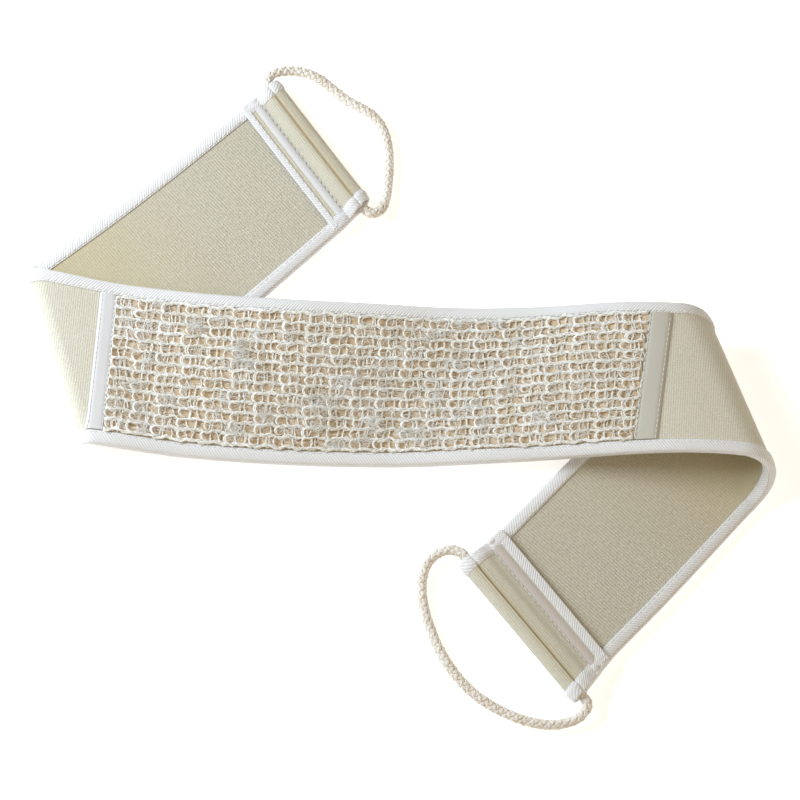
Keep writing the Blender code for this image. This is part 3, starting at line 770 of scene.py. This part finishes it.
def binding_profile(depth):
    """U round one edge of the stack, as (v, n, distance along the tape)."""
    inner = HALF_WIDTH - BINDING_REACH
    start = HALF_WIDTH - BINDING_TURN
    points = []
    for v in np.linspace(inner, start, 6):
        t = (v - inner) / (start - inner)
        points.append((v, depth + (0.35 * math.sin(math.pi * t) - 0.25 * (t < 0.3)) * MM))
    leg = [(v, -n) for v, n in reversed(points)]
    for turn in np.linspace(0.0, math.pi, 11)[1:-1]:
        points.append((start + (BINDING_TURN + BINDING_NOSE) * math.sin(turn),
                       depth * math.cos(turn)))
    points = np.array(points + leg)
    return points[:, 0], points[:, 1], distance_along(points)


def binding_tuck(v_out):
    """How far the tape's inner side lies in from its outer side, across the strap."""
    return TAPE * np.clip((v_out - HALF_WIDTH + BINDING_TURN) / (2.4 * MM), 0, 1)


def build_binding(edge):
    """Twill tape folded round one long edge, in the strap's five parts."""
    v_out, n_out, run = binding_profile(BINDING_DEPTH)
    n_in = n_out - np.sign(n_out) * np.minimum(TAPE, np.abs(n_out))
    for part, zone, side in zones():
        lines = zone_lines(zone, side, BINDING_STOP, 1.0 * MM)
        u = np.array([line(edge * v_out) for line in lines])
        v = np.broadcast_to(edge * v_out, u.shape)
        if zone == "arm":
            v = end_width(side, u, v)
        outer = strap_point(u, v, n_out)
        inner = strap_point(u, v - edge * binding_tuck(v_out), n_in)
        uv = np.stack(np.broadcast_arrays(u, run[None, :]), -1)
        piece = slab(f"{part}_{EDGE_NAME[edge]}_twill", outer, inner, uv, LOOKS["twill"])
        attach(piece, zone, side)
        stand_for(zone, side, f"{EDGE_NAME[edge]}_binding")


# ---- sewing ----

STITCH_SHAPE = (0.45, 0.9, 1.0, 1.0, 0.9, 0.45)  # thickness along one stitch


def stitches(name, line, zone, side, nodes=(), length=2.6 * MM, gap=0.9 * MM,
             radius=0.26 * MM):
    """Separate stitches along a dense line of points, standing for some CAD nodes."""
    run = distance_along(line)
    strands = []
    for start in np.arange(0.0, run[-1] - length, length + gap):
        at = start + np.linspace(0.0, length, len(STITCH_SHAPE))
        strands.append(np.stack([np.interp(at, run, line[:, k]) for k in range(3)], -1))
    shape = radius * np.array(STITCH_SHAPE)
    piece = tubes(name, strands, [shape] * len(strands), 6, LOOKS["thread"])
    attach(piece, zone, side)
    if nodes:
        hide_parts(*nodes)


def build_edge_sewing(edge):
    """Stitches along both faces of a binding's inner edge."""
    v = edge * (HALF_WIDTH - BINDING_REACH + 1.0 * MM)
    for face, face_name in ((1, "front"), (-1, "back")):
        for part, zone, side in zones():
            stop = (FLAP_END[side] + 2 * MM if face < 0 else 8 * MM) if side else 0.0
            lines = zone_lines(zone, side, stop, 0.8 * MM)
            u = np.array([float(line(v)) for line in lines])
            wide = end_width(side, u, v) if zone == "arm" else v
            level = face * (STACK + 0.02 * MM)
            shown = (zone == "middle" and face > 0) or (zone == "arm" and face < 0)
            stitches(f"{part}_{EDGE_NAME[edge]}_{face_name}_stitches",
                     strap_point(u, wide, level), zone, side,
                     (f"{part}_{EDGE_NAME[edge]}_seam",) if shown else ())


# ---- sisal face ----

def panel_end(side, v):
    start = PANEL_LEFT if side < 0 else PANEL_RIGHT
    return start + PANEL_SKEW[side] * np.asarray(v)


def on_strap(strands):
    """Fold many (u, v, n) strands at once."""
    flat = np.concatenate(strands)
    folded = strap_point(flat[:, 0], flat[:, 1], flat[:, 2])
    return np.split(folded, np.cumsum([len(s) for s in strands])[:-1])


def wander(rng, x, pitch, size):
    """Smooth random drift along x, of about that pitch and size."""
    total = np.zeros(len(x))
    for _ in range(4):
        total += np.sin(2 * math.pi * x / (pitch * rng.uniform(0.6, 1.9))
                        + rng.uniform(0.0, 2 * math.pi))
    return 0.5 * size * total


def twisted(rng, u, v, n, plies, radius, pitch):
    """Plies winding round a (u, v, n) line."""
    run = distance_along(np.stack([u, v], -1))
    start = rng.uniform(0.0, 2 * math.pi)
    made = []
    for k in range(plies):
        turn = 2 * math.pi * (run / pitch + k / plies) + start
        side_way = radius * np.cos(turn)
        slope = np.gradient(v, run) if len(v) > 2 else np.zeros(len(v))
        made.append(np.stack([u - slope * side_way, v + (1 - np.abs(slope)) * side_way,
                              n + radius * np.sin(turn)], -1))
    return made


def ridge_strands(rng, v_row, wave_start, plies, base=SISAL_BASE):
    """One wavy ridge of several loose yarns, running along the whole sisal face."""
    u = np.arange(panel_end(-1, v_row), panel_end(1, v_row), 1.1 * MM)
    wave = 0.45 * MM * np.sin(2 * math.pi * (u - wave_start) / LOOP_PITCH)
    strands = []
    for _ in range(RIDGE_YARNS):
        v = v_row + wave + wander(rng, u, LOOP_PITCH * 0.45, 0.66 * MM)
        n = base + 0.95 * MM + wander(rng, u, LOOP_PITCH * 0.4, 0.34 * MM)
        strands += twisted(rng, u, v, n, plies, 0.3 * MM, 7 * MM)
    return strands


def loop_strands(rng, at, low, high):
    """One heavy C-shaped loop between two ridges, open to the right."""
    turn = np.linspace(-0.35, math.pi + 0.35, 15)
    depth = rng.uniform(1.7, 3.4) * MM
    middle = (low + high) / 2 + rng.normal(0.0, 0.25) * MM
    v = middle - (high - low) * (0.43 + rng.normal(0.0, 0.05)) * np.cos(turn)
    strands = []
    for k in range(2):
        u = at + (1.6 + 0.4 * k + 0.25 * rng.standard_normal()) * MM - depth * np.sin(turn)
        n = SISAL_BASE + (1.15 + 0.7 * np.sin(turn) + 0.15 * rng.standard_normal()) * MM
        strands += twisted(rng, u, v, n, 2, 0.2 * MM, 5 * MM)
    return strands


def rung_strands(rng, at, low, high):
    """One thin upright yarn between two ridges."""
    t = np.linspace(-0.12, 1.12, 10)
    bow = np.sin(math.pi * np.clip(t, 0, 1))
    lean = rng.normal(0.0, 0.9) * MM
    u = at + lean * (t - 0.5) + rng.normal(0.0, 0.55) * MM * bow
    n = SISAL_BASE + (0.45 + 0.35 * bow + 0.15 * rng.standard_normal()) * MM
    return twisted(rng, u, low + (high - low) * t, n, 2, 0.19 * MM, 4 * MM)


def build_sisal():
    """Knitted sisal: wavy ridges along the strap, thin rungs and heavier loops between."""
    rng = np.random.default_rng(3)
    v_rows = np.linspace(-PANEL_HALF + 0.6 * MM, PANEL_HALF - 0.6 * MM, PANEL_ROWS + 1)
    knit = {kind: [] for kind in YARN_RADIUS}
    drift = rng.uniform(-1.1, 1.1, len(v_rows)) * MM
    for v_row, start in zip(v_rows, drift):
        knit["ridges"] += ridge_strands(rng, v_row, start, 2)
        knit["loose_ridges"] += ridge_strands(rng, v_row, start, 1, SISAL_BASE + 0.3 * MM)
    for i, (low, high) in enumerate(zip(v_rows, v_rows[1:])):
        start, stop = float(panel_end(-1, low)), float(panel_end(1, low))
        shift = drift[i] - 0.12 * MM * i
        for column in np.arange(start + 1.0 * MM, stop - 1.0 * MM, LOOP_PITCH):
            at = column + shift + rng.normal(0.0, 0.6) * MM
            knit["loops"] += loop_strands(rng, at, low, high)
            for rung in np.arange(RUNG_PITCH, LOOP_PITCH - 2.0 * MM, RUNG_PITCH):
                for _ in range(int(rng.integers(1, 3))):
                    at = column + shift + rung + rng.normal(0.0, 0.55) * MM
                    knit["rungs"] += rung_strands(rng, at, low, high)
    for kind, strands in knit.items():
        least, spread = YARN_RADIUS[kind]
        radii = [(least + spread * rng.random()) * MM for _ in strands]
        for strand in strands:
            u, v = strand[:, 0], strand[:, 1]
            strand[:, 0] = np.clip(u, panel_end(-1, v), panel_end(1, v))
        sides = 4 if "ridges" in kind else 5
        look = LOOKS["fuzz" if kind in ("loops", "loose_ridges") else "sisal"]
        piece = tubes(f"sisal_{kind}", on_strap(strands), radii, sides, look)
        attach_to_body(piece, "centre")
        if kind == "ridges":
            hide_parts("sisal_panel")
    build_fuzz(rng)
    build_shade_sheet()


def fibre(rng, u0, v0, length, angle):
    """One bent loose fibre lying on the knit."""
    t = np.linspace(0.0, 1.0, 7)
    bend = rng.normal(0.0, 1.6) * MM
    u = u0 + length * t * math.cos(angle) - bend * np.sin(math.pi * t) * math.sin(angle)
    v = v0 + length * t * math.sin(angle) + bend * np.sin(math.pi * t) * math.cos(angle)
    n = SISAL_BASE + (rng.uniform(1.0, 2.0) + 0.6 * np.sin(math.pi * t)) * MM
    return np.stack([u, v, n], -1)


def inside_panel(strand):
    u, v = strand[:, 0], strand[:, 1]
    return ((np.abs(v) < PANEL_HALF + 0.8 * MM) & (u > panel_end(-1, v))
            & (u < panel_end(1, v))).all()


def build_fuzz(rng):
    """Loose fibres that stand off the knit, some of them gathered in pale clumps."""
    strands = []
    for _ in range(FUZZ_COUNT):
        v0 = rng.uniform(-PANEL_HALF, PANEL_HALF)
        u0 = rng.uniform(float(panel_end(-1, v0)), float(panel_end(1, v0)))
        strands.append(fibre(rng, u0, v0, rng.uniform(3.0, 10.0) * MM, rng.normal(0.0, 0.8)))
    for _ in range(CLUMP_COUNT):
        v0 = rng.uniform(-PANEL_HALF, PANEL_HALF)
        u0 = rng.uniform(PANEL_LEFT, PANEL_RIGHT * rng.uniform(0.0, 1.0))
        way = rng.normal(0.0, 0.5)
        for _ in range(CLUMP_FIBRES):
            strands.append(fibre(rng, u0 + rng.normal(0.0, 2.2) * MM,
                                 v0 + rng.normal(0.0, 1.0) * MM,
                                 rng.uniform(3.0, 8.0) * MM, way + rng.normal(0.0, 0.4)))
    strands = [strand for strand in strands if inside_panel(strand)]
    piece = tubes("sisal_fibres", on_strap(strands), [0.09 * MM] * len(strands), 3,
                  LOOKS["fuzz"])
    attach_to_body(piece, "centre")


def build_shade_sheet():
    """A flat tan sheet under the knit: painted shade seen through its holes."""
    v = np.linspace(-PANEL_HALF, PANEL_HALF, 60)
    first, last = panel_end(-1, v), panel_end(1, v)
    u = np.array([first + (last - first) * t for t in np.linspace(0.0, 1.0, 200)])
    wide = np.broadcast_to(v, u.shape)
    top, bottom = (strap_point(u, wide, CLOTH_FACE + n * MM) for n in (0.35, 0.05))
    piece = slab("sisal_shade_sheet", top, bottom, np.stack([u, wide], -1), LOOKS["ground"])
    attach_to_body(piece, "centre")


def build_panel_tape(side):
    """Tape sewn over one end of the sisal, rounded at its edges."""
    name = SIDE_NAME[side]
    v = np.linspace(-PANEL_HALF - 0.3 * MM, PANEL_HALF + 0.3 * MM, 70)
    width = PANEL_TAPE_WIDTH[side]
    across = np.linspace(0.0, 1.0, 13)
    near = panel_end(side, v) - side * PANEL_TAPE_LAP
    u = np.array([near + side * width * t for t in across])
    crown = 1.0 - np.abs(2.0 * across - 1.0) ** 6
    height = CLOTH_FACE + (0.35 + 1.25 * crown) * MM
    rows = {"inner": PANEL_TAPE_SEWING, "outer": width - PANEL_TAPE_SEWING}
    for reach in rows.values():
        height = height - 0.3 * MM * np.exp(-((across * width - reach) / (0.6 * MM)) ** 2)
    wide = np.broadcast_to(v, u.shape)
    # the right end's tape takes the copy with painted shade
    piece = slab(f"{name}_end_tape", strap_point(u, wide, height[:, None]),
                 strap_point(u, wide, CLOTH_FACE + 0.1 * MM), np.stack([wide, u], -1),
                 LOOKS["tape" if side < 0 else "shaded_tape"])
    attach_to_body(piece, "centre")
    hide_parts(f"{name}_panel_tape")
    for kind, reach in rows.items():
        dense = np.linspace(-PANEL_HALF, PANEL_HALF, 160)
        at = panel_end(side, dense) + side * (reach - PANEL_TAPE_LAP)
        stitches(f"{name}_end_tape_{kind}_stitches",
                 strap_point(at, dense, CLOTH_FACE + 1.42 * MM), "middle", 0,
                 length=2.0 * MM, gap=0.8 * MM, radius=0.2 * MM)


# ---- rope handles ----

def channel_frame(side):
    """Middle of the rope channel's axis, its way across the hem and its way outward."""
    ends = []
    for v in (-HALF_WIDTH, HALF_WIDTH):
        u = channel_u(side, v)
        ends.append(Vector(strap_point(u, end_width(side, u, v), -CHANNEL_DEPTH)))
    middle = (ends[0] + ends[1]) / 2
    across = (ends[1] - ends[0]).normalized()
    outward = across.cross(Vector((0, 0, 1)))
    inside = Vector(strap_point(channel_u(side, 0.0, -50 * MM), 0.0, -CHANNEL_DEPTH))
    if outward.dot(middle - inside) < 0:
        outward = -outward
    return middle, across, outward


def rope_line(side, step):
    """Evenly spaced points of the rope's centreline, from splice round to splice."""
    middle, across, outward = channel_frame(side)
    straight = [ROPE_START + ROPE_STEP * k for k in range(3)]
    points = [middle + across * reach for reach in straight]
    for v, out, z in ROPE_ROUTE[side]:
        point = middle + across * (v * MM) + outward * (out * MM)
        points.append(Vector((point.x, point.y, middle.z if out == 0 else z * MM)))
    points += [middle - across * reach for reach in reversed(straight)]
    padded = [points[0] * 2 - points[1]] + points + [points[-1] * 2 - points[-2]]
    dense = []
    for a, b, c, d in zip(padded, padded[1:], padded[2:], padded[3:]):
        for t in np.linspace(0.0, 1.0, 13)[:-1]:
            dense.append(0.5 * (2 * b + (c - a) * t + (2 * a - 5 * b + 4 * c - d) * t ** 2
                                + (3 * b - a - 3 * c + d) * t ** 3))
    dense.append(points[-1])
    dense = np.array([p[:] for p in dense])
    run = distance_along(dense)
    wanted = np.linspace(0.0, run[-1], int(run[-1] / step) + 1)
    return np.stack([np.interp(wanted, run, dense[:, k]) for k in range(3)], -1)


def line_normals(line):
    """Two normals along a line, without sudden twists."""
    tangent = np.gradient(line, axis=0)
    tangent /= np.linalg.norm(tangent, axis=1, keepdims=True)
    normal = np.zeros_like(line)
    normal[0] = np.cross(tangent[0], (0.0, 0.0, 1.0))
    for i in range(1, len(line)):
        carried = normal[i - 1] - tangent[i] * normal[i - 1].dot(tangent[i])
        normal[i] = carried / np.linalg.norm(carried)
    normal[0] /= np.linalg.norm(normal[0])
    return normal, np.cross(tangent, normal)


def build_rope(side):
    """Round braid: strands wind both ways and pass over and under each other."""
    name = SIDE_NAME[side]
    line = rope_line(side, 0.6 * MM)
    first, second = line_normals(line)
    run = distance_along(line)
    rng = np.random.default_rng(5 + side)
    strands, radii = [], []
    advance = 2 * math.pi * run / BRAID_PITCH
    for way in (-1, 1):
        radial = (STRAND_LEVEL + STRAND_RISE * way * np.cos(BRAID_WAYS * advance)) * MM
        for k in range(BRAID_WAYS):
            angle = way * advance + 2 * math.pi * k / BRAID_WAYS
            for ply in (-1, 0, 1):
                r = radial + 0.1 * MM * (1 - abs(ply)) + wander(rng, run, 9 * MM, 0.08 * MM)
                a = angle + ply * PLY_PITCH / STRAND_LEVEL
                strands.append(line + first * (r * np.cos(a))[:, None]
                               + second * (r * np.sin(a))[:, None])
                radii.append(rng.uniform(0.56, 0.68) * MM)
    piece = tubes(f"{name}_braided_rope", strands + [line], radii + [ROPE_CORE], 6,
                  LOOKS["rope"])
    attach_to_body(piece, f"{name}_handle")
    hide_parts(f"{name}_handle_rope")


def build_whipping(side):
    """The rope's two ends, laid together inside the hem and whipped with thread."""
    name = SIDE_NAME[side]
    middle, across, _ = channel_frame(side)
    along = np.array(across)
    first = np.array(across.orthogonal().normalized())
    second = np.cross(along, first)
    at = np.linspace(-SPLICE_HALF, SPLICE_HALF, 560)
    turn = 2 * math.pi * at / WHIP_PITCH
    winding = (np.array(middle) + along * at[:, None]
               + WHIP_RADIUS * (first * np.cos(turn)[:, None] + second * np.sin(turn)[:, None]))
    core = np.array(middle) + along * np.linspace(-SPLICE_HALF, SPLICE_HALF, 15)[:, None]
    piece = tubes(f"{name}_rope_whipping", [winding, core], [WHIP_THREAD, WHIP_CORE], 12,
                  LOOKS["thread"])
    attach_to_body(piece, f"{name}_handle")
    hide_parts(f"{name}_handle_splice")


# ---- camera, light and floor ----

def aim(made, place_at, way):
    """Put a camera or lamp somewhere, looking a way."""
    made.location = place_at
    made.rotation_mode = "QUATERNION"
    made.rotation_quaternion = way.to_track_quat("-Z", "Y")


def build_camera():
    camera = add_object("camera", bpy.data.cameras.new("camera"))
    back = Vector((0.0, -math.cos(CAMERA_ELEVATION), math.sin(CAMERA_ELEVATION)))
    aim(camera, Vector(CAMERA_TARGET) + back * CAMERA_DISTANCE, -back)
    camera.data.lens = CAMERA_LENS
    camera.data.sensor_width = CAMERA_SENSOR
    bpy.context.scene.camera = camera


def area_light(name, place_at, size, power, colour):
    lamp = bpy.data.lights.new(name, 'AREA')
    lamp.size = size
    lamp.energy = power
    lamp.color = colour
    aim(add_object(name, lamp), place_at, -Vector(place_at))


def build_stage():
    """White table, two soft lamps and a warm sky."""
    look = Look("white_table", 0.9)
    grain = look.noise(look.spot(), 60.0, 3.0, 0.5)
    tones = look.ramp(grain, [(0.3, (0.94, 0.94, 0.94)), (0.7, (0.96, 0.96, 0.96))])
    look.feed(look.shader.inputs["Base Color"], tones)
    look.shader.inputs["Emission Color"].default_value = (1.0, 1.0, 1.0, 1.0)
    look.shader.inputs["Emission Strength"].default_value = FLOOR_GLOW
    corners = np.array([[x * FLOOR_HALF, y * FLOOR_HALF, -FLOOR_DROP]
                        for x, y in ((-1, -1), (1, -1), (1, 1), (-1, 1))])
    mesh_object("floor", corners, [[0, 1, 2, 3]], corners[:, :2], look.material)
    area_light("key", *KEY_LAMP)
    area_light("fill", *FILL_LAMP)
    world = bpy.data.worlds.new("world")
    bpy.context.scene.world = world
    world.use_nodes = True
    background = world.node_tree.nodes["Background"]
    background.inputs["Color"].default_value = (*SKY_COLOUR, 1.0)
    background.inputs["Strength"].default_value = SKY_STRENGTH
    bpy.context.scene.view_settings.view_transform = "Standard"


def build():
    build_camera()
    for side in (-1, 1):
        build_rope(side)
        build_whipping(side)
    build_cloths()
    for side in (-1, 1):
        build_hem(side)
        build_hem_ends(side)
        build_flap_binding(side)
        build_hem_band(side)
        build_hem_stitches(side)
        build_panel_tape(side)
    build_sisal()
    for edge in (1, -1):
        build_binding(edge)
        build_edge_sewing(edge)
    build_stage()


build()
